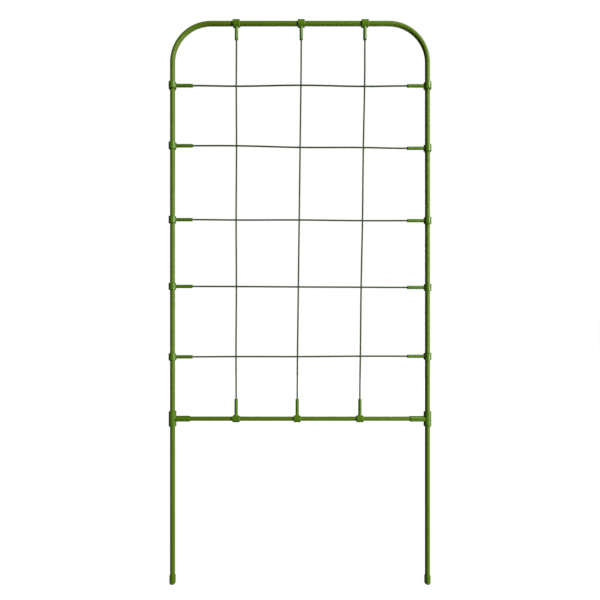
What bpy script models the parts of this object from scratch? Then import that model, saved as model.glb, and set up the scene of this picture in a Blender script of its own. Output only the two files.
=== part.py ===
"""Arched plant support: a bent tube arch on two push-in stakes, with a crossbar and a woven wire net.

Metres, +Z up. The origin is on the ground, midway between the stakes, and the net faces -Y.
Rows are counted from the top and columns from the left, as seen from the front.
"""

from math import cos, pi, radians, sin, tan

import bpy
import numpy as np
from mathutils import Vector

for leftover in list(bpy.data.objects):
    bpy.data.objects.remove(leftover, do_unlink=True)

# Frame tubes, of plastic-coated steel, whose spacing and heights are those of their axes
LEG_SPACING = 0.5785
TOP_HEIGHT = 1.2705
CROSSBAR_HEIGHT = 0.374
BEND_RADIUS = 0.088
TUBE_DIAMETER = 0.011
TUBE_WALL = 0.001
CROSSBAR_DIAMETER = 0.0096
CROSSBAR_WALL = 0.0009

# Net of woven wires. Each wire's ends stand a little off even spacing, above it or to the right of it.
ROW_SHIFTS = ((0.0088, 0.0081), (0.0218, 0.0159), (0.0034, 0.0011), (0.0013, -0.001), (-0.0091, -0.0077))
COLUMN_SHIFTS = ((0.0004, -0.0003), (0.0028, -0.0063), (0.0026, -0.0087))
WIRE_DIAMETER = 0.0036
WEAVE_GAP = 0.0007  # between two wires where they cross
WIRE_EASE = 0.12  # share of a slanting wire that bends into its slant at each end

# Clips, which hold a wire end on a tube
CLIP_LENGTH = 0.016
CLIP_WALL = 0.0029
CLIP_ROUNDING = 0.0012
DOME_DIAMETER = 0.0218  # of the dome about the arm's axis that rounds off the collar on that side
DOME_RISE = 0.0004  # how far its flat top stands over the collar's side
DOME_ROUNDING = 0.0082
DOME_SPREAD = 0.0015  # how much wider its radius is behind the tube
ARM_DIAMETER = 0.0078
ARM_FILLET = 0.001
ARM_ROUNDING = 0.0013
SOCKET_FLOOR = 0.0035  # between the tube's bore and the bottom of the wire's socket
SIDE_CLIP_REACH = 0.0464  # from the tube's axis to the mouth of the arm
TOP_CLIP_REACH = 0.037
BOTTOM_CLIP_REACH = 0.0452

# Tee connectors, which join arch, stake and crossbar
TEE_LENGTH = 0.034
TEE_WALL = 0.0027
TEE_ROUNDING = 0.0013
TEE_STOP = 0.0016  # web between the arch and the stake
TEE_STOP_BORE = 0.0076
TEE_REACH = 0.0398  # from the sleeve's axis to the mouth of the arm
TEE_ARM_WALL = 0.0014
TEE_ARM_ROUNDING = 0.0007
TEE_FILLET = 0.0012
TEE_FLOOR = 0.0014  # between the sleeve's bore and the bottom of the crossbar's socket

# Foot caps on the stakes
CAP_LENGTH = 0.0185
CAP_WALL = 0.0012  # at the rim
CAP_TAPER = 0.0002  # how much less the radius is at the tip
CAP_FLOOR = 0.0032
CAP_ROUNDING = 0.0026
CAP_RIM_ROUNDING = 0.0008

# Fits and facets
FIT_GAP = 0.0003
CUT_MARGIN = 0.001  # how far a cutter runs past the face that it opens
MERGE = 0.00001
TUBE_SIDES = 16
WIRE_SIDES = 8
ARM_SIDES = 12
TEE_SIDES = 20
BEND_STEPS = 10
WAVE_STEPS = 4
EDGE_FACET = 0.0016  # about the width of a facet across a rounded edge
DOME_FACET = 0.0025
SHARP_ANGLE = radians(32)
MARKER_SIZE = 0.02  # of the empties that carry what slides

# How a clip or tee is turned, by the way its arm points
ARM_RIGHT = (0, 0, 0)
ARM_LEFT = (0, 0, pi)
ARM_DOWN = (0, pi / 2, 0)
ARM_UP = (0, -pi / 2, 0)

NET_HEIGHT = TOP_HEIGHT - CROSSBAR_HEIGHT
ROWS = len(ROW_SHIFTS)
COLUMNS = len(COLUMN_SHIFTS)
ROW_PITCH = NET_HEIGHT / (ROWS + 1)
COLUMN_PITCH = LEG_SPACING / (COLUMNS + 1)
WEAVE_DEPTH = (WIRE_DIAMETER + WEAVE_GAP) / 2


def new_collection(name):
    made = bpy.data.collections.new(name)
    bpy.context.scene.collection.children.link(made)
    return made


def new_material(name, colour, roughness):
    made = bpy.data.materials.new(name)
    made.use_nodes = True
    shader = made.node_tree.nodes["Principled BSDF"]
    shader.inputs["Base Color"].default_value = (*colour, 1)
    shader.inputs["Roughness"].default_value = roughness
    shader.inputs["Metallic"].default_value = 0
    return made


parts = new_collection("arched_plant_support")
cutters = new_collection("cutters")
tube_green = new_material("coated_tube_green", colour=(0.13, 0.24, 0.04), roughness=0.42)
connector_green = new_material("moulded_green", colour=(0.12, 0.27, 0.025), roughness=0.35)
wire_green = new_material("coated_wire_green", colour=(0.08, 0.13, 0.045), roughness=0.45)


def new_carrier(name, location):
    """The empty that carries what slides together, on the line that it slides along."""
    made = bpy.data.objects.new(name, None)
    made.location = location
    made.empty_display_size = MARKER_SIZE
    parts.objects.link(made)
    return made


def filleted(corners, facet):
    """The outline through (radius, height, rounding) corners, with an arc where there is a rounding.

    An arc keeps to its own half of a side that it shares with another arc, and is cut into facets.
    """
    points = []
    for index, (radius, height, rounding) in enumerate(corners):
        corner = Vector((radius, height))
        if not rounding:
            points.append(corner)
            continue
        sides = [(Vector(corners[near][:2]) - corner, corners[near][2]) for near in (index - 1, index + 1)]
        back, onward = (side.normalized() for side, _ in sides)
        half = back.angle(onward) / 2
        room = min(side.length / (2 if other_rounding else 1) for side, other_rounding in sides)
        arc = min(rounding, room * tan(half))
        centre = corner + (back + onward).normalized() * arc / sin(half)
        first = (corner + back * arc / tan(half) - centre).normalized()
        last = (corner + onward * arc / tan(half) - centre).normalized()
        steps = max(1, round(arc * first.angle(last) / facet))
        points += [centre + first.slerp(last, step / steps) * arc for step in range(steps + 1)]
    return points


def turned(name, corners, sides, facet=EDGE_FACET):
    """A body turned about Z, with its outline running down its outer side."""
    outline = [(point.x, 0, point.y) for point in filleted(corners, facet)]
    mesh = bpy.data.meshes.new(name)
    mesh.from_pydata(outline, [(i, i + 1) for i in range(len(outline) - 1)], [])
    body = bpy.data.objects.new(name, mesh)
    cutters.objects.link(body)
    body.hide_render = True
    body.display_type = "WIRE"
    screw = body.modifiers.new("Turn", "SCREW")
    screw.steps = sides
    screw.render_steps = sides
    screw.use_merge_vertices = True
    screw.merge_threshold = MERGE
    return body


def bore(name, radius, low, high, sides):
    """A straight cutter about Z whose flats, not its corners, stand at the radius."""
    corner = radius / cos(pi / sides)
    return turned(name, [(0, high, 0), (corner, high, 0), (corner, low, 0), (0, low, 0)], sides)


def combine(body, operation, other):
    step = body.modifiers.new(operation.title(), "BOOLEAN")
    step.operation = operation
    step.object = other


def moulded(body):
    """The mesh that the body's modifiers make, shaded round with its own edges left sharp."""
    bpy.context.view_layer.update()
    mesh = bpy.data.meshes.new_from_object(body.evaluated_get(bpy.context.evaluated_depsgraph_get()))
    mesh.name = body.name
    mesh.materials.append(connector_green)
    mesh.shade_smooth()
    mesh.set_sharp_from_angle(angle=SHARP_ANGLE)
    return mesh


def place(name, mesh, location, turn=ARM_RIGHT, carrier=None):
    """A piece of its own that shares the mesh."""
    piece = bpy.data.objects.new(name, mesh)
    parts.objects.link(piece)
    piece.location = location
    piece.rotation_euler = turn
    piece.parent = carrier


def round_skin(name, points, diameter, sides, material):
    """A round rod along the points, open at its ends: a polyline curve with a bevel."""
    curve = bpy.data.curves.new(name, "CURVE")
    curve.dimensions = "3D"
    curve.bevel_depth = diameter / 2
    curve.bevel_resolution = sides // 2 - 2
    curve.materials.append(material)
    spline = curve.splines.new("POLY")
    spline.points.add(len(points) - 1)
    for knot, point in zip(spline.points, points):
        knot.co = (*point, 1)
    spline.use_smooth = True
    piece = bpy.data.objects.new(name, curve)
    parts.objects.link(piece)
    return piece


def tube(name, points, diameter, wall):
    """A hollow tube: the open skin, thickened inwards by its wall."""
    piece = round_skin(name, points, diameter, TUBE_SIDES, tube_green)
    thickness = piece.modifiers.new("Wall", "SOLIDIFY")
    thickness.thickness = wall
    thickness.offset = -1


def wire(name, points, carrier):
    piece = round_skin(name, points, WIRE_DIAMETER, WIRE_SIDES, wire_green)
    piece.data.use_fill_caps = True
    piece.parent = carrier


def bend(centre_x, centre_z, start, end):
    """Points along a bend of the arch in the XZ plane, from the start angle to the end angle in degrees."""
    angles = np.radians(np.linspace(start, end, BEND_STEPS + 1))
    return [(centre_x + BEND_RADIUS * cos(a), 0, centre_z + BEND_RADIUS * sin(a)) for a in angles]


def arch_path():
    """Up the left side, over the top and down the right side, to the stops in the tees."""
    side = LEG_SPACING / 2
    foot = CROSSBAR_HEIGHT + TEE_STOP / 2 + FIT_GAP
    centre_x = side - BEND_RADIUS
    centre_z = TOP_HEIGHT - BEND_RADIUS
    left = [(-side, 0, foot), *bend(-centre_x, centre_z, 180, 90)]
    right = [*bend(centre_x, centre_z, 90, 0), (side, 0, foot)]
    return left + right


def socket_floor(tube_diameter):
    """How far from the tube's axis the bottom of a clip's wire socket is."""
    return tube_diameter / 2 + FIT_GAP + SOCKET_FLOOR


def clip(name, tube_diameter, reach):
    """A collar round a tube along Z, whose arm points along +X and takes a wire end in its socket.

    A dome round the arm trims the collar's corners on that side, and leaves those behind the tube square.
    """
    bore_radius = tube_diameter / 2 + FIT_GAP
    collar_radius = bore_radius + CLIP_WALL
    half = CLIP_LENGTH / 2
    collar_outline = [
        (0, half, 0),
        (collar_radius, half, CLIP_ROUNDING),
        (collar_radius, -half, CLIP_ROUNDING),
        (0, -half, 0),
    ]
    behind = collar_radius + CUT_MARGIN
    dome_outline = [
        (0, collar_radius + DOME_RISE, 0),
        (DOME_DIAMETER / 2, collar_radius + DOME_RISE, DOME_ROUNDING),
        (DOME_DIAMETER / 2 + DOME_SPREAD, -behind, 0),
        (0, -behind, 0),
    ]
    arm_outline = [
        (0, reach, 0),
        (ARM_DIAMETER / 2, reach, ARM_ROUNDING),
        (ARM_DIAMETER / 2, collar_radius + ARM_FILLET, ARM_FILLET),
        (ARM_DIAMETER / 2 + ARM_FILLET, collar_radius - ARM_FILLET, 0),
        (ARM_DIAMETER / 2, 0, 0),
        (0, 0, 0),
    ]
    collar = turned(name, collar_outline, TUBE_SIDES)
    dome = turned(name + "_dome", dome_outline, TUBE_SIDES, DOME_FACET)
    arm = turned(name + "_arm", arm_outline, ARM_SIDES)
    tube_bore = bore(name + "_bore", bore_radius, -half - CUT_MARGIN, half + CUT_MARGIN, TUBE_SIDES)
    socket_radius = WIRE_DIAMETER / 2 + FIT_GAP
    floor = socket_floor(tube_diameter)
    socket = bore(name + "_socket", socket_radius, floor, reach + CUT_MARGIN, WIRE_SIDES)
    for lying in (dome, arm, socket):
        lying.rotation_euler.y = pi / 2
    combine(collar, "INTERSECT", dome)
    combine(collar, "UNION", arm)
    combine(collar, "DIFFERENCE", tube_bore)
    combine(collar, "DIFFERENCE", socket)
    return moulded(collar)


def tee():
    """A sleeve along Z with a web that stops both tubes, and an arm along +X for the crossbar."""
    bore_radius = TUBE_DIAMETER / 2 + FIT_GAP
    sleeve_radius = bore_radius + TEE_WALL
    arm_bore_radius = CROSSBAR_DIAMETER / 2 + FIT_GAP
    arm_radius = arm_bore_radius + TEE_ARM_WALL
    half = TEE_LENGTH / 2
    half_stop = TEE_STOP / 2
    sleeve_outline = [
        (0, half, 0),
        (sleeve_radius, half, TEE_ROUNDING),
        (sleeve_radius, -half, TEE_ROUNDING),
        (0, -half, 0),
    ]
    arm_outline = [
        (0, TEE_REACH, 0),
        (arm_radius, TEE_REACH, TEE_ARM_ROUNDING),
        (arm_radius, sleeve_radius + TEE_FILLET, TEE_FILLET),
        (arm_radius + TEE_FILLET, sleeve_radius - TEE_FILLET, 0),
        (arm_radius, 0, 0),
        (0, 0, 0),
    ]
    sleeve = turned("tee", sleeve_outline, TEE_SIDES)
    arm = turned("tee_arm", arm_outline, TUBE_SIDES)
    upper_bore = bore("tee_upper_bore", bore_radius, half_stop, half + CUT_MARGIN, TUBE_SIDES)
    lower_bore = bore("tee_lower_bore", bore_radius, -half - CUT_MARGIN, -half_stop, TUBE_SIDES)
    stop_bore = bore("tee_stop_bore", TEE_STOP_BORE / 2, -TEE_STOP, TEE_STOP, TUBE_SIDES)
    arm_bore = bore(
        "tee_arm_bore", arm_bore_radius, bore_radius + TEE_FLOOR, TEE_REACH + CUT_MARGIN, TUBE_SIDES
    )
    for lying in (arm, arm_bore):
        lying.rotation_euler.y = pi / 2
    combine(sleeve, "UNION", arm)
    for cutter in (upper_bore, lower_bore, stop_bore, arm_bore):
        combine(sleeve, "DIFFERENCE", cutter)
    return moulded(sleeve)


def foot_cap():
    """A cup with its mouth up, tapered to a rounded end with a small flat."""
    bore_radius = TUBE_DIAMETER / 2 + FIT_GAP
    bore_corner = bore_radius / cos(pi / TUBE_SIDES)
    rim_radius = bore_radius + CAP_WALL
    outline = [
        (0, CAP_FLOOR, 0),
        (bore_corner, CAP_FLOOR, 0),
        (bore_corner, CAP_LENGTH, 0),
        (rim_radius, CAP_LENGTH, CAP_RIM_ROUNDING),
        (rim_radius - CAP_TAPER, 0, CAP_ROUNDING),
        (0, 0, 0),
    ]
    return moulded(turned("foot_cap", outline, TUBE_SIDES))


def eased(share):
    """A ramp from 0 to 1 that sets off level, is straight in the middle and ends level."""
    start = share**2 / (2 * WIRE_EASE * (1 - WIRE_EASE))
    middle = (share - WIRE_EASE / 2) / (1 - WIRE_EASE)
    end = 1 - (1 - share) ** 2 / (2 * WIRE_EASE * (1 - WIRE_EASE))
    return np.where(share < WIRE_EASE, start, np.where(share > 1 - WIRE_EASE, end, middle))


def slanted(places, mouths, ends):
    """Where a wire is across its run: at its ends' values inside the arms, with an eased slant between."""
    share = np.clip((np.asarray(places) - mouths[0]) / (mouths[1] - mouths[0]), 0, 1)
    return ends[0] + (ends[1] - ends[0]) * eased(share)


def woven(mouths, inside, crossings):
    """Places along a wire and its depth there: half cosine waves between crossings, level in the sockets.

    The crossings are (place, depth) pairs. The wire leaves the arms at their mouths, and goes on by the
    two lengths inside them.
    """
    knots = [(mouths[0], 0), *crossings, (mouths[1], 0)]
    share = np.arange(WAVE_STEPS) / WAVE_STEPS
    places = [mouths[0] - inside[0]]
    depths = [0]
    for (here, depth), (there, next_depth) in zip(knots, knots[1:]):
        places.extend(here + (there - here) * share)
        depths.extend(depth + (next_depth - depth) * (1 - np.cos(pi * share)) / 2)
    places += [mouths[1], mouths[1] + inside[1]]
    depths += [0, 0]
    return np.array(places), np.array(depths)


def row_ends(row):
    """The heights of a row's left and right ends."""
    even = TOP_HEIGHT - ROW_PITCH * (row + 1)
    return [even + shift for shift in ROW_SHIFTS[row]]


def column_ends(column):
    """The X of a column's top and bottom ends."""
    even = COLUMN_PITCH * (column + 1) - LEG_SPACING / 2
    return [even + shift for shift in COLUMN_SHIFTS[column]]


def row_mouths():
    """The X where a row's wire leaves its left and right clips."""
    mouth = LEG_SPACING / 2 - SIDE_CLIP_REACH
    return -mouth, mouth


def column_mouths():
    """How far below the top tube a column's wire leaves its top and bottom clips."""
    return TOP_CLIP_REACH, NET_HEIGHT - BOTTOM_CLIP_REACH


def row_z(row, x):
    """The height of a row's wire at an X."""
    return slanted(x, row_mouths(), row_ends(row))


def column_x(column, drop):
    """The X of a column's wire at a distance below the top tube."""
    return slanted(drop, column_mouths(), column_ends(column))


def front(row, column):
    """+1 where the row passes in front of the column, and -1 where it passes behind."""
    return 1 if (row + column) % 2 else -1


def build_row(row, clip_mesh):
    """A wire and the clips at its ends, which slide up and down the arch's sides together."""
    side = LEG_SPACING / 2
    left, right = row_ends(row)
    height = (left + right) / 2
    name = f"row_{row + 1}"
    carrier = new_carrier(name, (0, 0, height))
    crossings = [
        (float(column_x(column, TOP_HEIGHT - height)), -WEAVE_DEPTH * front(row, column))
        for column in range(COLUMNS)
    ]
    inside = SIDE_CLIP_REACH - socket_floor(TUBE_DIAMETER) - FIT_GAP
    x, y = woven(row_mouths(), (inside, inside), crossings)
    wire(name + "_wire", np.column_stack([x, y, row_z(row, x) - height]), carrier)
    place(name + "_left_clip", clip_mesh, (-side, 0, left - height), ARM_RIGHT, carrier)
    place(name + "_right_clip", clip_mesh, (side, 0, right - height), ARM_LEFT, carrier)


def build_column(column, top_mesh, bottom_mesh):
    """A wire and the clips at its ends, which slide along the top tube and the crossbar together."""
    top, bottom = column_ends(column)
    middle = (top + bottom) / 2
    name = f"column_{column + 1}"
    carrier = new_carrier(name, (middle, 0, CROSSBAR_HEIGHT))
    crossings = [
        (TOP_HEIGHT - float(row_z(row, middle)), WEAVE_DEPTH * front(row, column)) for row in range(ROWS)
    ]
    in_top = TOP_CLIP_REACH - socket_floor(TUBE_DIAMETER) - FIT_GAP
    in_bottom = BOTTOM_CLIP_REACH - socket_floor(CROSSBAR_DIAMETER) - FIT_GAP
    drop, y = woven(column_mouths(), (in_top, in_bottom), crossings)
    wire(name + "_wire", np.column_stack([column_x(column, drop) - middle, y, NET_HEIGHT - drop]), carrier)
    place(name + "_top_clip", top_mesh, (top - middle, 0, NET_HEIGHT), ARM_DOWN, carrier)
    place(name + "_bottom_clip", bottom_mesh, (bottom - middle, 0, 0), ARM_UP, carrier)


def build_frame():
    """The arch, the crossbar, the stakes, and what joins and caps them."""
    side = LEG_SPACING / 2
    crossbar_end = side - (TUBE_DIAMETER / 2 + FIT_GAP + TEE_FLOOR + FIT_GAP)
    stake_low = CAP_FLOOR + FIT_GAP
    stake_high = CROSSBAR_HEIGHT - TEE_STOP / 2 - FIT_GAP
    crossbar_ends = [(-crossbar_end, 0, CROSSBAR_HEIGHT), (crossbar_end, 0, CROSSBAR_HEIGHT)]
    tee_mesh = tee()
    cap_mesh = foot_cap()
    tube("arch_tube", arch_path(), TUBE_DIAMETER, TUBE_WALL)
    tube("crossbar", crossbar_ends, CROSSBAR_DIAMETER, CROSSBAR_WALL)
    for label, x, turn in (("left", -side, ARM_RIGHT), ("right", side, ARM_LEFT)):
        tube(label + "_stake", [(x, 0, stake_low), (x, 0, stake_high)], TUBE_DIAMETER, TUBE_WALL)
        place(label + "_tee", tee_mesh, (x, 0, CROSSBAR_HEIGHT), turn)
        place(label + "_foot_cap", cap_mesh, (x, 0, 0))


build_frame()
side_clip = clip("side_clip", TUBE_DIAMETER, SIDE_CLIP_REACH)
top_clip = clip("top_clip", TUBE_DIAMETER, TOP_CLIP_REACH)
bottom_clip = clip("bottom_clip", CROSSBAR_DIAMETER, BOTTOM_CLIP_REACH)
for row in range(ROWS):
    build_row(row, side_clip)
for column in range(COLUMNS):
    build_column(column, top_clip, bottom_clip)
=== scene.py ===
"""Arched plant support, dressed: coated tubes, a net of woven wires, and moulded clips, tees and caps.

Metres, +Z up, with the net facing -Y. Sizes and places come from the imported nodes, and the few that a
node's box doesn't tell are named below. Every surface is worked out as a grid of points.
"""

from math import ceil, pi, radians, sin, tan

import bmesh
import bpy
import numpy as np
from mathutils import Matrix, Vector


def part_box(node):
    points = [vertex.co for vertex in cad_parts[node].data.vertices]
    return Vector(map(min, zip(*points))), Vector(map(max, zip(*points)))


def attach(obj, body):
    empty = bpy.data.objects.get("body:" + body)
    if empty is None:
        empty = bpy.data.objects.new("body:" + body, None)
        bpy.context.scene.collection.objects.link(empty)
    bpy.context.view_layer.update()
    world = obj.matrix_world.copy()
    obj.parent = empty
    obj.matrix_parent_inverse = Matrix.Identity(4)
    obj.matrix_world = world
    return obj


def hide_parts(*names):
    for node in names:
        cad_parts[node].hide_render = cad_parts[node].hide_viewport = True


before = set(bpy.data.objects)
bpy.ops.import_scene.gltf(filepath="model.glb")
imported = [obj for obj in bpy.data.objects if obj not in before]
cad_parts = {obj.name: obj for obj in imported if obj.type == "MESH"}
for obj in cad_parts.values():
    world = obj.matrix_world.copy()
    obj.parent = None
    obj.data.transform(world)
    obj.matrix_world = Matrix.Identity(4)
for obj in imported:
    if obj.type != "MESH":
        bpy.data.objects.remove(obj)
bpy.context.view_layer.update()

X, Y, Z = np.eye(3)

ROWS = range(1, 6)
COLUMNS = range(1, 4)

# Sizes that the nodes' boxes don't tell
BEND_RADIUS = 0.088
TUBE_WALL = 0.001
CROSSBAR_WALL = 0.0009
WIRE_RADIUS = 0.0018
WIRE_EASE = 0.12  # share of a slanting wire that bends into its slant at each end
FIT_GAP = 0.0001  # between a moulded bore and what is in it
ARM_RADIUS = 0.0039
ARM_ROUNDING = 0.0013
DOME_RADIUS = 0.0109  # of the dome about a clip's arm that rounds off the collar on that side
DOME_RISE = 0.0004  # how far its flat top stands over the collar's side
DOME_ROUNDING = 0.0082
DOME_SPREAD = 0.0015  # how much wider it is behind the tube
DOME_BLEND = 0.0006  # how far from the dome's edge the collar starts to turn into it
SOCKET_FLOOR = 0.0035  # between a clip's bore and the bottom of its wire's socket
CLIP_ROUNDING = 0.0012
TEE_ROUNDING = 0.0013
TEE_ARM_RADIUS = 0.0065
TEE_ARM_ROUNDING = 0.0007
TEE_FLOOR = 0.0014
TEE_STOP = 0.0016
TEE_STOP_RADIUS = 0.0038
CAP_TIP_RADIUS = 0.0068
CAP_ROUNDING = 0.0026
CAP_RIM_ROUNDING = 0.0008
CAP_FLOOR = 0.0032
SMALL_EDGE = 0.00025  # rounding of mouths, rims and cut ends

# How far each fillet between an arm and its collar runs, towards the collar's ends and to its sides
CLIP_FILLET = (0.001, 0.0012)
TEE_FILLET = (0.0012, 0.0015)

# Half the width of the window round an arm, as an angle round the collar
CLIP_WINDOW = radians(66)
TEE_WINDOW = radians(88)

# Fineness of the surfaces
TUBE_SIDES = 48
WIRE_SIDES = 28
ARC_STEPS = 6
BEND_STEPS = 60
TUBE_STEP = 0.004
WIRE_STEP = 0.003
MOULD_STEP = 0.0012
FACE_STEP = 0.00005  # along an arm's outline, where it is looked up
ROOT_LENGTH = 0.005  # of an arm, next to its fillet
ROOT_ROWS = 8
FILLET_ROWS = 6
WINDOW_ROWS = 8  # from the fillet to the window's edge
DOME_HALVINGS = 14  # of the span in which the dome's edge is looked for
ABOVE_SEGMENTS = 32  # round the collar, above the arm and again below it
BESIDE_SEGMENTS = 16  # along the collar, on each side of the arm
BACK_SEGMENTS = 48  # round the collar's back, from one side of the window to the other
WINDOW_MARGIN = 0.0002  # from the window round an arm to the collar's rounded ends
WELD = 0.000002
SHARP_ANGLE = radians(40)


# The camera and the light

CAMERA_PLACE = (0, -0.908, 0.6433)
CAMERA_LENS = 24


def add_camera():
    """A level camera close in front of the net, at half its height."""
    camera = bpy.data.objects.new("camera", bpy.data.cameras.new("camera"))
    bpy.context.collection.objects.link(camera)
    camera.location = CAMERA_PLACE
    camera.rotation_euler = (pi / 2, 0, 0)
    camera.data.lens = CAMERA_LENS
    bpy.context.scene.camera = camera


add_camera()
bpy.context.scene.view_settings.view_transform = "Standard"


class Socket:
    """A node's output in a node tree. Arithmetic on it adds Math nodes."""

    def __init__(self, tree, output=None):
        self.tree = tree
        self.output = output

    def node(self, kind, settings=None, sockets=None, output=0):
        """A new node in the tree, with its settings, then the values or links of its sockets."""
        made = self.tree.nodes.new(kind)
        for name, value in (settings or {}).items():
            setattr(made, name, value)
        for name, value in (sockets or {}).items():
            if isinstance(value, Socket):
                self.tree.links.new(value.output, made.inputs[name])
            else:
                made.inputs[name].default_value = value
        return Socket(self.tree, made.outputs[output] if made.outputs else None)

    def math(self, operation, first, second):
        """A Math node on two values or links."""
        return self.node("ShaderNodeMath", {"operation": operation}, {0: first, 1: second})

    def __add__(self, other):
        return self.math("ADD", self, other)

    def __sub__(self, other):
        return self.math("SUBTRACT", self, other)

    def __rsub__(self, other):
        return self.math("SUBTRACT", other, self)

    def __mul__(self, other):
        return self.math("MULTIPLY", self, other)

    __radd__ = __add__
    __rmul__ = __mul__


def rays_that_see(tree, glossy_share):
    """1 for camera and transmission rays, a share for glossy ones, and 0 for the rays that only light."""
    start = Socket(tree)
    camera = start.node("ShaderNodeLightPath", output="Is Camera Ray")
    transmission = start.node("ShaderNodeLightPath", output="Is Transmission Ray")
    glossy = start.node("ShaderNodeLightPath", output="Is Glossy Ray")
    return camera + transmission + glossy * glossy_share


WHITE = (1, 1, 1, 1)
GLOSSY_SHARE = 0.05  # how much of the white surroundings shows in the satin coats
FILL = 0.03  # the world's own light on the object
FLOOR_SIZE = 40
FLOOR_COLOUR = (0.18, 0.18, 0.18, 1)
FLOOR_GLOW = 0.95  # near the object; the floor glows full white from the far radius on
FAR_RADIUS = 3


def add_surroundings():
    """White round the object to the eye, but only a low even fill to the object itself."""
    world = bpy.data.worlds.new("studio")
    world.use_nodes = True
    world.node_tree.nodes.clear()
    seen = rays_that_see(world.node_tree, GLOSSY_SHARE)
    level = FILL + (1 - FILL) * seen
    sky = seen.node("ShaderNodeBackground", sockets={"Color": WHITE, "Strength": level})
    seen.node("ShaderNodeOutputWorld", sockets={"Surface": sky})
    bpy.context.scene.world = world


def add_floor():
    """A pale floor that glows white to the eye, takes the object's shadow and throws little light up."""
    half = FLOOR_SIZE / 2
    corners = [(-half, -half, 0), (half, -half, 0), (half, half, 0), (-half, half, 0)]
    mesh = bpy.data.meshes.new("floor")
    mesh.from_pydata(corners, [], [(0, 1, 2, 3)])
    floor = bpy.data.objects.new("floor", mesh)
    bpy.context.collection.objects.link(floor)
    material = bpy.data.materials.new("pale_floor")
    material.use_nodes = True
    material.node_tree.nodes.clear()
    seen = rays_that_see(material.node_tree, GLOSSY_SHARE)
    place = seen.node("ShaderNodeTexCoord", output="Object")
    distance = seen.node("ShaderNodeVectorMath", {"operation": "LENGTH"}, {0: place}, output="Value")
    glow = seen.node(
        "ShaderNodeMapRange",
        {"interpolation_type": "SMOOTHSTEP"},
        {"Value": distance, "From Min": 0, "From Max": FAR_RADIUS, "To Min": FLOOR_GLOW, "To Max": 1},
    )
    matt = seen.node("ShaderNodeBsdfDiffuse", sockets={"Color": FLOOR_COLOUR})
    glow = seen.node("ShaderNodeEmission", sockets={"Color": WHITE, "Strength": seen * glow})
    both = seen.node("ShaderNodeAddShader", sockets={0: matt, 1: glow})
    seen.node("ShaderNodeOutputMaterial", sockets={"Surface": both})
    mesh.materials.append(material)


def add_lamp(name, place, target, size, power):
    """A rectangular soft box that faces the target and stays out of the picture."""
    light = bpy.data.lights.new(name, "AREA")
    light.shape = "RECTANGLE"
    light.size, light.size_y = size
    light.energy = power
    lamp = bpy.data.objects.new(name, light)
    bpy.context.collection.objects.link(lamp)
    lamp.location = place
    lamp.visible_camera = False
    direction = Vector(target) - lamp.location
    lamp.rotation_euler = direction.to_track_quat("-Z", "Y").to_euler()


add_surroundings()
add_floor()
add_lamp("key_panel", place=(2.02, -1.47, 1.5), target=(0, 0, 1.2), size=(0.7, 2.96), power=75)
add_lamp("high_box", place=(1.25, -1.93, 2.9), target=(0, 0, 0.8), size=(0.5, 0.5), power=7)
add_lamp("low_panel", place=(0.97, -0.71, 0.31), target=(0, 0, 0.35), size=(0.24, 0.56), power=2)
add_lamp("back_panel", place=(0.3, 2.5, 0.85), target=(0, 0, 0.85), size=(1.5, 1.5), power=32)


# Materials

NOISE_DETAIL = 2
NOISE_MIDDLE = 0.5  # the value that the noise swings about
GLOSS_FINENESS = 5  # how many times finer the gloss wanders than the colour


def object_noise(tree, scale):
    """Noise that stays put on the object, with features of about one over the scale, in metres."""
    start = Socket(tree)
    place = start.node("ShaderNodeTexCoord", output="Object")
    return start.node(
        "ShaderNodeTexNoise", sockets={"Vector": place, "Scale": scale, "Detail": NOISE_DETAIL}, output="Fac"
    )


def finish(name, deep, pale, roughness, roughness_wander, wander_scale, peel_scale, peel_depth, specular):
    """A green skin whose colour drifts from deep to pale, whose gloss wanders, with a fine peel."""
    material = bpy.data.materials.new(name)
    material.use_nodes = True
    tree = material.node_tree
    tree.nodes.clear()
    drift = object_noise(tree, wander_scale)
    colour = drift.node(
        "ShaderNodeMix", {"data_type": "RGBA"}, {0: drift, 6: (*deep, 1), 7: (*pale, 1)}, output=2
    )
    gloss = object_noise(tree, wander_scale * GLOSS_FINENESS)
    peel = object_noise(tree, peel_scale)
    bump = drift.node("ShaderNodeBump", sockets={"Strength": 1, "Distance": peel_depth, "Height": peel})
    shader = drift.node(
        "ShaderNodeBsdfPrincipled",
        sockets={
            "Base Color": colour,
            "Roughness": roughness + roughness_wander * (gloss - NOISE_MIDDLE),
            "Specular IOR Level": specular,
            "Normal": bump,
        },
    )
    drift.node("ShaderNodeOutputMaterial", sockets={"Surface": shader})
    return material


finishes = {}
finishes["coated_tube_green"] = finish(
    "green_tube_coat",
    deep=(0.125, 0.232, 0.006),
    pale=(0.15, 0.268, 0.012),
    roughness=0.42,
    roughness_wander=0.08,
    wander_scale=12,
    peel_scale=700,
    peel_depth=0.000004,
    specular=0.28,
)
finishes["moulded_green"] = finish(
    "green_moulding",
    deep=(0.108, 0.245, 0.002),
    pale=(0.13, 0.285, 0.005),
    roughness=0.24,
    roughness_wander=0.03,
    wander_scale=25,
    peel_scale=900,
    peel_depth=0.000003,
    specular=0.68,
)
finishes["coated_wire_green"] = finish(
    "green_wire_coat",
    deep=(0.036, 0.088, 0.003),
    pale=(0.048, 0.105, 0.008),
    roughness=0.4,
    roughness_wander=0.08,
    wander_scale=20,
    peel_scale=900,
    peel_depth=0.000004,
    specular=0.35,
)


# Surfaces

def unit(vectors):
    """Each vector over its own length."""
    return vectors / np.linalg.norm(vectors, axis=-1, keepdims=True)


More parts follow.
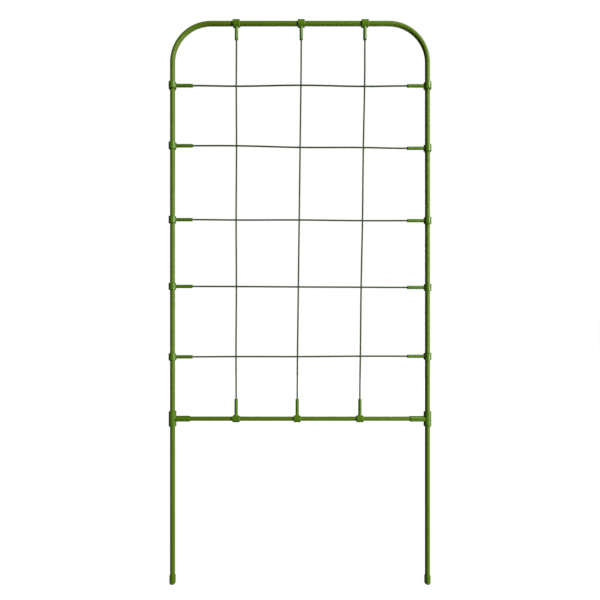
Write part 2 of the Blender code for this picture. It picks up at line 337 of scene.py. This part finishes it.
def rounded(corners):
    """The outline through (radius, place, rounding) corners: straight sides, joined by arcs."""
    outline = [np.array([corners[0][:2]])]
    for before, corner, after in zip(corners, corners[1:], corners[2:]):
        spot = np.array(corner[:2])
        back = unit(np.array(before[:2]) - spot)
        onward = unit(np.array(after[:2]) - spot)
        turn = pi - np.arccos(back @ onward)
        reach = corner[2] * tan(turn / 2)
        centre = spot + unit(back + onward) * np.hypot(reach, corner[2])
        share = np.linspace(0, 1, ARC_STEPS + 1)[:, None]
        first = np.sin((1 - share) * turn) * (spot + back * reach - centre)
        last = np.sin(share * turn) * (spot + onward * reach - centre)
        outline.append(centre + (first + last) / sin(turn))
    outline.append(np.array([corners[-1][:2]]))
    return np.concatenate(outline)


def refined(outline, longest):
    """The outline with its long sides divided evenly, so that no side is over the longest."""
    sides = np.linalg.norm(np.diff(outline, axis=0), axis=1)
    ends = np.concatenate([[0], np.cumsum(sides)])
    places = [
        np.linspace(start, end, ceil(side / longest), endpoint=False)
        for start, end, side in zip(ends, ends[1:], sides)
    ]
    places = np.concatenate([*places, ends[-1:]])
    return np.column_stack([np.interp(places, ends, values) for values in outline.T])


def round_z(radius, angle, height):
    """Points at a radius from Z, an angle round it from X and a height along it."""
    return np.stack(np.broadcast_arrays(radius * np.cos(angle), radius * np.sin(angle), height), -1)


def swept(path, stations, sides):
    """Rings round a path: a station is a distance along the path and the radius of the ring there.

    A ring is centred on the path and square to it, and its angles start from Y crossed with the path.
    """
    steps = np.diff(path, axis=0)
    along = np.concatenate([[0], np.cumsum(np.linalg.norm(steps, axis=1))])
    directions = unit(steps)
    before = np.concatenate([directions[:1], directions])
    after = np.concatenate([directions, directions[-1:]])
    directions = unit(before + after)
    distance, radius = stations.T
    centre = np.column_stack([np.interp(distance, along, values) for values in path.T])
    ahead = unit(np.column_stack([np.interp(distance, along, values) for values in directions.T]))
    across = unit(np.cross(Y, ahead))
    deep = np.cross(ahead, across)
    angles = np.linspace(0, 2 * pi, sides, endpoint=False)[:, None]
    spokes = np.cos(angles) * across[:, None] + np.sin(angles) * deep[:, None]
    return centre[:, None] + radius[:, None, None] * spokes


def grid_faces(rows, columns, rows_close, columns_close):
    """Quads over a grid of points, row by row. Rows or columns that close meet their first again."""
    row = np.arange(rows if rows_close else rows - 1)[:, None]
    column = np.arange(columns if columns_close else columns - 1)
    next_row = (row + 1) % rows
    next_column = (column + 1) % columns
    quads = [row * columns + column, row * columns + next_column]
    quads += [next_row * columns + next_column, next_row * columns + column]
    return np.stack(np.broadcast_arrays(*quads), -1).reshape(-1, 4)


def add_piece(node, body, slot, patches):
    """A closed piece from grids that share their edges, which stands for the node and rides on its body.

    A patch is (points, whether its rows close, whether its columns close).
    """
    name = slot.split("_")[0] + "_" + node
    points = []
    faces = []
    count = 0
    for grid, rows_close, columns_close in patches:
        rows, columns, _ = grid.shape
        faces.append(count + grid_faces(rows, columns, rows_close, columns_close))
        points.append(grid.reshape(-1, 3))
        count += rows * columns
    mesh = bpy.data.meshes.new(name)
    mesh.from_pydata(np.concatenate(points).tolist(), [], np.concatenate(faces).tolist())
    shell = bmesh.new()
    shell.from_mesh(mesh)
    bmesh.ops.remove_doubles(shell, verts=shell.verts, dist=WELD)
    bmesh.ops.recalc_face_normals(shell, faces=shell.faces)
    shell.to_mesh(mesh)
    shell.free()
    mesh.shade_smooth()
    mesh.set_sharp_from_angle(angle=SHARP_ANGLE)
    mesh.materials.append(finishes[slot])
    piece = bpy.data.objects.new(name, mesh)
    bpy.context.collection.objects.link(piece)
    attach(piece, body)
    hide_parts(node)


def middle(node, axis):
    """The middle of a node's box, along an axis."""
    low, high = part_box(node)
    return (low + high) @ Vector(axis) / 2


def size(node, axis):
    """The length of a node's box, along an axis."""
    low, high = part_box(node)
    return (high - low) @ Vector(axis)


leg = middle("right_stake", X)
tube_radius = size("right_stake", X) / 2
crossbar_radius = size("crossbar", Z) / 2
crossbar_height = middle("crossbar", Z)
top_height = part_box("arch_tube")[1].z - tube_radius


# Tubes

def add_tube(node, path, radius, wall):
    """A hollow tube along a path: rings down its outside and back up its bore, with softened ends."""
    length = np.linalg.norm(np.diff(path, axis=0), axis=1).sum()
    section = rounded([
        (length / 2, radius, 0),
        (length, radius, SMALL_EDGE),
        (length, radius - wall, SMALL_EDGE),
        (0, radius - wall, SMALL_EDGE),
        (0, radius, SMALL_EDGE),
        (length / 2, radius, 0),
    ])
    rings = swept(path, refined(section, TUBE_STEP), TUBE_SIDES)
    add_piece(node, "frame", "coated_tube_green", [(rings, True, True)])


def arch_path():
    """Up the left side, round a quarter turn, along the top, round another and down the right side."""
    angles = np.linspace(0, pi / 2, BEND_STEPS + 1)
    right = np.column_stack([
        leg - BEND_RADIUS * (1 - np.cos(angles)),
        np.zeros(len(angles)),
        top_height - BEND_RADIUS * (1 - np.sin(angles)),
    ])
    left = right * (-1, 1, 1)
    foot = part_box("arch_tube")[0].z
    return np.concatenate([[(-leg, 0, foot)], left, right[::-1], [(leg, 0, foot)]])


def add_tubes():
    """The arch along its bent path, and the crossbar and both stakes between their boxes' ends."""
    add_tube("arch_tube", arch_path(), tube_radius, TUBE_WALL)
    low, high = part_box("crossbar")
    ends = np.array([(low.x, 0, crossbar_height), (high.x, 0, crossbar_height)])
    add_tube("crossbar", ends, crossbar_radius, CROSSBAR_WALL)
    for node, x in (("left_stake", -leg), ("right_stake", leg)):
        low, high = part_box(node)
        add_tube(node, np.array([(x, 0, low.z), (x, 0, high.z)]), tube_radius, TUBE_WALL)


# Wires

row_ends = [(middle(f"row_{n}_left_clip", Z), middle(f"row_{n}_right_clip", Z)) for n in ROWS]
row_mouths = (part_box("row_1_left_clip")[1].x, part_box("row_1_right_clip")[0].x)
column_ends = [(middle(f"column_{n}_top_clip", X), middle(f"column_{n}_bottom_clip", X)) for n in COLUMNS]
column_mouths = (
    top_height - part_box("column_1_top_clip")[0].z,
    top_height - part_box("column_1_bottom_clip")[1].z,
)
weave_depth = size("row_1_wire", Y) / 2 - WIRE_RADIUS


def slanted(places, mouths, ends):
    """Where a wire is across its run: at its ends' values in the arms, and between them straight but for
    a parabola at each end, which eases it into its slant."""
    share = np.clip((places - mouths[0]) / (mouths[1] - mouths[0]), 0, 1)
    bend = 2 * WIRE_EASE * (1 - WIRE_EASE)
    straight = (share - WIRE_EASE / 2) / (1 - WIRE_EASE)
    eased = np.where(share > 1 - WIRE_EASE, 1 - (1 - share) ** 2 / bend, straight)
    return ends[0] + (ends[1] - ends[0]) * np.where(share < WIRE_EASE, share**2 / bend, eased)


def woven(places, mouths, crossings, depths):
    """How deep a wire is: half a cosine wave from one crossing's depth to the next, none in the arms."""
    knots = np.array([mouths[0], *crossings, mouths[1]])
    levels = np.array([0, *depths, 0])
    here = np.clip(np.searchsorted(knots, places) - 1, 0, len(knots) - 2)
    share = np.clip((places - knots[here]) / (knots[here + 1] - knots[here]), 0, 1)
    return levels[here] + (levels[here + 1] - levels[here]) * (1 - np.cos(pi * share)) / 2


def in_front(row, column):
    """1 where the row passes in front of the column, and -1 where it passes behind."""
    return 1 if (row + column) % 2 else -1


def add_wire(node, body, path):
    """A solid rod along a path, with softened ends."""
    length = np.linalg.norm(np.diff(path, axis=0), axis=1).sum()
    section = rounded([
        (0, 0, 0), (0, WIRE_RADIUS, SMALL_EDGE), (length, WIRE_RADIUS, SMALL_EDGE), (length, 0, 0)
    ])
    rings = swept(path, refined(section, WIRE_STEP), WIRE_SIDES)
    add_piece(node, body, "coated_wire_green", [(rings, False, True)])


def add_row_wire(row):
    """A row's wire: its height goes from its left clip's to its right clip's, and its depth is woven."""
    node = f"row_{ROWS[row]}_wire"
    low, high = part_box(node)
    x = np.linspace(low.x, high.x, ceil((high.x - low.x) / WIRE_STEP) + 1)
    drop = top_height - sum(row_ends[row]) / 2
    crossings = [slanted(drop, column_mouths, ends) for ends in column_ends]
    depths = [-weave_depth * in_front(row, column) for column in range(len(COLUMNS))]
    y = woven(x, row_mouths, crossings, depths)
    add_wire(node, f"row_{ROWS[row]}", np.column_stack([x, y, slanted(x, row_mouths, row_ends[row])]))


def add_column_wire(column):
    """A column's wire: its place across goes from its top to its bottom clip's, and its depth is woven."""
    node = f"column_{COLUMNS[column]}_wire"
    low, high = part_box(node)
    z = np.linspace(high.z, low.z, ceil((high.z - low.z) / WIRE_STEP) + 1)
    middle_x = sum(column_ends[column]) / 2
    crossings = [top_height - slanted(middle_x, row_mouths, ends) for ends in row_ends]
    depths = [weave_depth * in_front(row, column) for row in range(len(ROWS))]
    y = woven(top_height - z, column_mouths, crossings, depths)
    x = slanted(top_height - z, column_mouths, column_ends[column])
    add_wire(node, f"column_{COLUMNS[column]}", np.column_stack([x, y, z]))


# Moulded pieces

def window_edge(angle, height):
    """The edge of the window round an arm, from its top left corner, as angles and heights."""
    across = np.linspace(-angle, angle, ABOVE_SEGMENTS, endpoint=False)
    down = np.linspace(height, -height, BESIDE_SEGMENTS, endpoint=False)
    level = np.full(ABOVE_SEGMENTS, height)
    upright = np.full(BESIDE_SEGMENTS, angle)
    return np.concatenate([across, upright, -across, -upright]), np.concatenate([level, down, -level, -down])


def plain(radius):
    """The radius of a collar that is the same at every angle and height."""
    return lambda angle, height: radius + 0 * (angle + height)


def domed(radius):
    """The radius of a collar that a dome about its arm rounds off on that side.

    The dome is an outline turned about the arm. Halving finds how far from the tube's axis a spoke at an
    angle and height leaves it, and a smooth minimum of that and the collar's radius blends the two.
    """
    top = radius + DOME_RISE
    widths, places = rounded([
        (DOME_RADIUS + DOME_SPREAD, -radius, 0), (DOME_RADIUS, top, DOME_ROUNDING), (0, top, 0)
    ])[:-1].T

    def at(angle, height):
        angle, height = np.broadcast_arrays(angle, height)
        within = np.zeros(angle.shape)
        beyond = np.full(angle.shape, 2 * radius)
        for _ in range(DOME_HALVINGS):
            spoke = (within + beyond) / 2
            width = np.interp(spoke * np.cos(angle), places, widths, right=0)
            inside = np.hypot(spoke * np.sin(angle), height) < width
            within = np.where(inside, spoke, within)
            beyond = np.where(inside, beyond, spoke)
        share = np.clip((within - radius) / DOME_BLEND / 2 + 0.5, 0, 1)
        return within + (radius - within) * share - DOME_BLEND * share * (1 - share)

    return at


def arm_surface(outline, turn, collar_radius, collar, fillet, window):
    """An arm along X that grows out of a collar round Z, out to the window's edge on the collar.

    The outline gives radii and places along the arm, from the bottom of its socket to inside the collar,
    and turns round the arm. Where it would meet the collar, a cubic curve leaves it and lands on the
    collar along the tangents of both, and from there straight lines on the unrolled collar go to the
    window's edge.
    """
    face = np.argmax(outline[:, 1])
    radius, place = outline.T
    steps = np.concatenate([[0], np.cumsum(np.linalg.norm(np.diff(outline, axis=0), axis=1))])

    # The first place along the outline that is inside the collar, at each turn
    run = np.arange(steps[face], steps[-1], FACE_STEP)
    run_radius, run_place = np.interp(run, steps, radius), np.interp(run, steps, place)
    sideways = run_radius[:, None] * np.sin(turn)
    above = run_place[:, None] - np.sqrt(collar_radius**2 - sideways**2)
    meeting = run[np.argmax(above <= 0, axis=0)]

    ends, sides = fillet
    reach = ends + (sides - ends) * np.sin(turn) ** 2
    root = np.searchsorted(-place[face:], -(collar_radius + ROOT_LENGTH)) + face
    share = np.linspace(0, 1, ROOT_ROWS + 1)[:, None]
    length = np.concatenate([
        np.broadcast_to(steps[:root, None], (root, len(turn))),
        steps[root] + (meeting - reach - steps[root]) * share,
    ])
    around = np.stack([np.zeros(len(turn)), np.sin(turn), np.cos(turn)], -1)
    arm_radius, arm_place = np.interp(length, steps, radius), np.interp(length, steps, place)
    arm = arm_place[..., None] * X + arm_radius[..., None] * around

    # The landing on the collar, one reach out from where the two meet
    start_heading = unit(arm[-1] - arm[-2])
    meeting_radius = np.interp(meeting, steps, radius)
    landing_angle = np.arcsin(meeting_radius * np.sin(turn) / collar_radius)
    landing_angle = landing_angle + reach * np.sin(turn) / collar_radius
    landing_height = (meeting_radius + reach) * np.cos(turn)
    landing = round_z(collar(landing_angle, landing_height), landing_angle, landing_height)
    tangent = np.stack([-np.sin(landing_angle), np.cos(landing_angle), np.zeros(len(turn))], -1)
    landing_heading = np.sin(turn)[:, None] * tangent + np.cos(turn)[:, None] * Z
    handle = reach[:, None] * 2 / 3
    share = np.linspace(0, 1, FILLET_ROWS + 1)[1:, None, None]
    blend = (
        (1 - share) ** 3 * arm[-1]
        + 3 * (1 - share) ** 2 * share * (arm[-1] + handle * start_heading)
        + 3 * (1 - share) * share**2 * (landing - handle * landing_heading)
        + share**3 * landing
    )

    edge_angle, edge_height = window
    share = np.linspace(0, 1, WINDOW_ROWS + 1)[1:, None]
    angle = landing_angle + (edge_angle - landing_angle) * share
    height = landing_height + (edge_height - landing_height) * share
    return np.concatenate([arm, blend, round_z(collar(angle, height), angle, height)])


def add_fitting(
    node, body, seat, arm, tube, sides, collar, arm_outline, bore, rounding, fillet, window_angle
):
    """A collar round a tube with an arm square to it, placed at the seat on the tube's axis.

    The arm and the tube are directions. The collar gives its own radius at an angle and height, the bore
    is the outline of its inside, from its upper end to its lower one, and the arm's outline goes on to
    its socket and back. The collar's ends are turned as if it were plain, and then drawn in to it.
    """
    radius, half = sides
    edge_height = half - rounding - WINDOW_MARGIN
    half_round = ABOVE_SEGMENTS + BESIDE_SEGMENTS
    turn = (np.arange(2 * half_round) - ABOVE_SEGMENTS / 2) * (pi / half_round)
    window = window_edge(window_angle, edge_height)
    grown = arm_surface(arm_outline, turn, radius, collar, fillet, window)
    back_angles = np.linspace(window_angle, 2 * pi - window_angle, BACK_SEGMENTS + 1)
    back_heights = np.linspace(edge_height, -edge_height, BESIDE_SEGMENTS + 1)[:, None]
    back = round_z(collar(back_angles, back_heights), back_angles, back_heights)
    inside = rounded([
        (radius, edge_height, 0),
        (radius, half, rounding),
        *bore,
        (radius, -half, rounding),
        (radius, -edge_height, 0),
    ])
    ring_angles = np.concatenate([window[0][:ABOVE_SEGMENTS], back_angles[:-1]])
    spoke, height = refined(inside, MOULD_STEP).T[:, :, None]
    bore_radius = bore[0][0]
    drawn_in = (collar(ring_angles, height) - bore_radius) / (radius - bore_radius)
    ends = round_z(bore_radius + (spoke - bore_radius) * drawn_in, ring_angles, height)
    axes = np.array([arm, np.cross(tube, arm), tube])
    patches = [
        (points @ axes + seat, False, closes)
        for points, closes in ((grown, True), (back, False), (ends, True))
    ]
    add_piece(node, body, "moulded_green", patches)


def measured(node, seat, arm, tube):
    """A fitting's collar radius, half its collar's length, and its arm's reach from the tube's axis."""
    low, high = (np.array(corner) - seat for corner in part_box(node))
    along = sorted((low @ arm, high @ arm))
    return -along[0], abs((high - low) @ tube) / 2, along[1]


def add_clip(node, body, seat, arm, tube, held_radius):
    """A domed collar round a tube of the held radius, whose arm has a blind socket for a wire's end."""
    radius, half, reach = measured(node, seat, arm, tube)
    bore_radius = held_radius + FIT_GAP
    socket = WIRE_RADIUS + FIT_GAP
    bottom = held_radius + SOCKET_FLOOR
    outline = rounded([
        (0, bottom, 0),
        (socket, bottom, SMALL_EDGE),
        (socket, reach, SMALL_EDGE),
        (ARM_RADIUS, reach, ARM_ROUNDING),
        (ARM_RADIUS, 0, 0),
    ])
    bore = [(bore_radius, half, SMALL_EDGE), (bore_radius, -half, SMALL_EDGE)]
    add_fitting(
        node, body, seat, arm, tube, (radius, half), domed(radius), refined(outline, MOULD_STEP), bore,
        CLIP_ROUNDING, CLIP_FILLET, CLIP_WINDOW,
    )


def add_tee(node, x, arm):
    """A plain collar with a web in its bore that stops both tubes, and an arm for the crossbar."""
    seat = np.array([x, 0, crossbar_height])
    radius, half, reach = measured(node, seat, arm, Z)
    bore_radius = tube_radius + FIT_GAP
    socket = crossbar_radius + FIT_GAP
    bottom = tube_radius + TEE_FLOOR
    outline = rounded([
        (0, bottom, 0),
        (socket, bottom, SMALL_EDGE),
        (socket, reach, SMALL_EDGE),
        (TEE_ARM_RADIUS, reach, TEE_ARM_ROUNDING),
        (TEE_ARM_RADIUS, 0, 0),
    ])
    web = TEE_STOP / 2
    bore = [
        (bore_radius, half, SMALL_EDGE),
        (bore_radius, web, SMALL_EDGE),
        (TEE_STOP_RADIUS, web, SMALL_EDGE),
        (TEE_STOP_RADIUS, -web, SMALL_EDGE),
        (bore_radius, -web, SMALL_EDGE),
        (bore_radius, -half, SMALL_EDGE),
    ]
    add_fitting(
        node, "frame", seat, arm, Z, (radius, half), plain(radius), refined(outline, MOULD_STEP), bore,
        TEE_ROUNDING, TEE_FILLET, TEE_WINDOW,
    )


def add_foot_cap(node, x):
    """A cup turned about the stake's axis: its bore, its rim, its tapered side and its rounded tip."""
    low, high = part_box(node)
    bore_radius = tube_radius + FIT_GAP
    rim_radius = (high.x - low.x) / 2
    outline = rounded([
        (0, CAP_FLOOR, 0),
        (bore_radius, CAP_FLOOR, SMALL_EDGE),
        (bore_radius, high.z, SMALL_EDGE),
        (rim_radius, high.z, CAP_RIM_ROUNDING),
        (CAP_TIP_RADIUS, low.z, CAP_ROUNDING),
        (0, low.z, 0),
    ])
    angles = np.linspace(0, 2 * pi, TUBE_SIDES, endpoint=False)
    radius, height = refined(outline, MOULD_STEP).T[:, :, None]
    add_piece(node, "frame", "moulded_green", [(round_z(radius, angles, height) + x * X, False, True)])


def add_row_clips(row):
    """The clips of a row's wire, one on each leg, at heights of their own."""
    n = ROWS[row]
    for label, side, height in (("left", -1, row_ends[row][0]), ("right", 1, row_ends[row][1])):
        seat = np.array([side * leg, 0, height])
        add_clip(f"row_{n}_{label}_clip", f"row_{n}", seat, -side * X, Z, tube_radius)


def add_column_clips(column):
    """The clips of a column's wire, one on the top tube and one on the crossbar."""
    n = COLUMNS[column]
    top, bottom = column_ends[column]
    seat = np.array([top, 0, top_height])
    add_clip(f"column_{n}_top_clip", f"column_{n}", seat, -Z, X, tube_radius)
    seat = np.array([bottom, 0, crossbar_height])
    add_clip(f"column_{n}_bottom_clip", f"column_{n}", seat, Z, X, crossbar_radius)


add_tubes()
for label, x, arm in (("left", -leg, X), ("right", leg, -X)):
    add_tee(label + "_tee", x, arm)
    add_foot_cap(label + "_foot_cap", x)
for row in range(len(ROWS)):
    add_row_wire(row)
    add_row_clips(row)
for column in range(len(COLUMNS)):
    add_column_wire(column)
    add_column_clips(column)
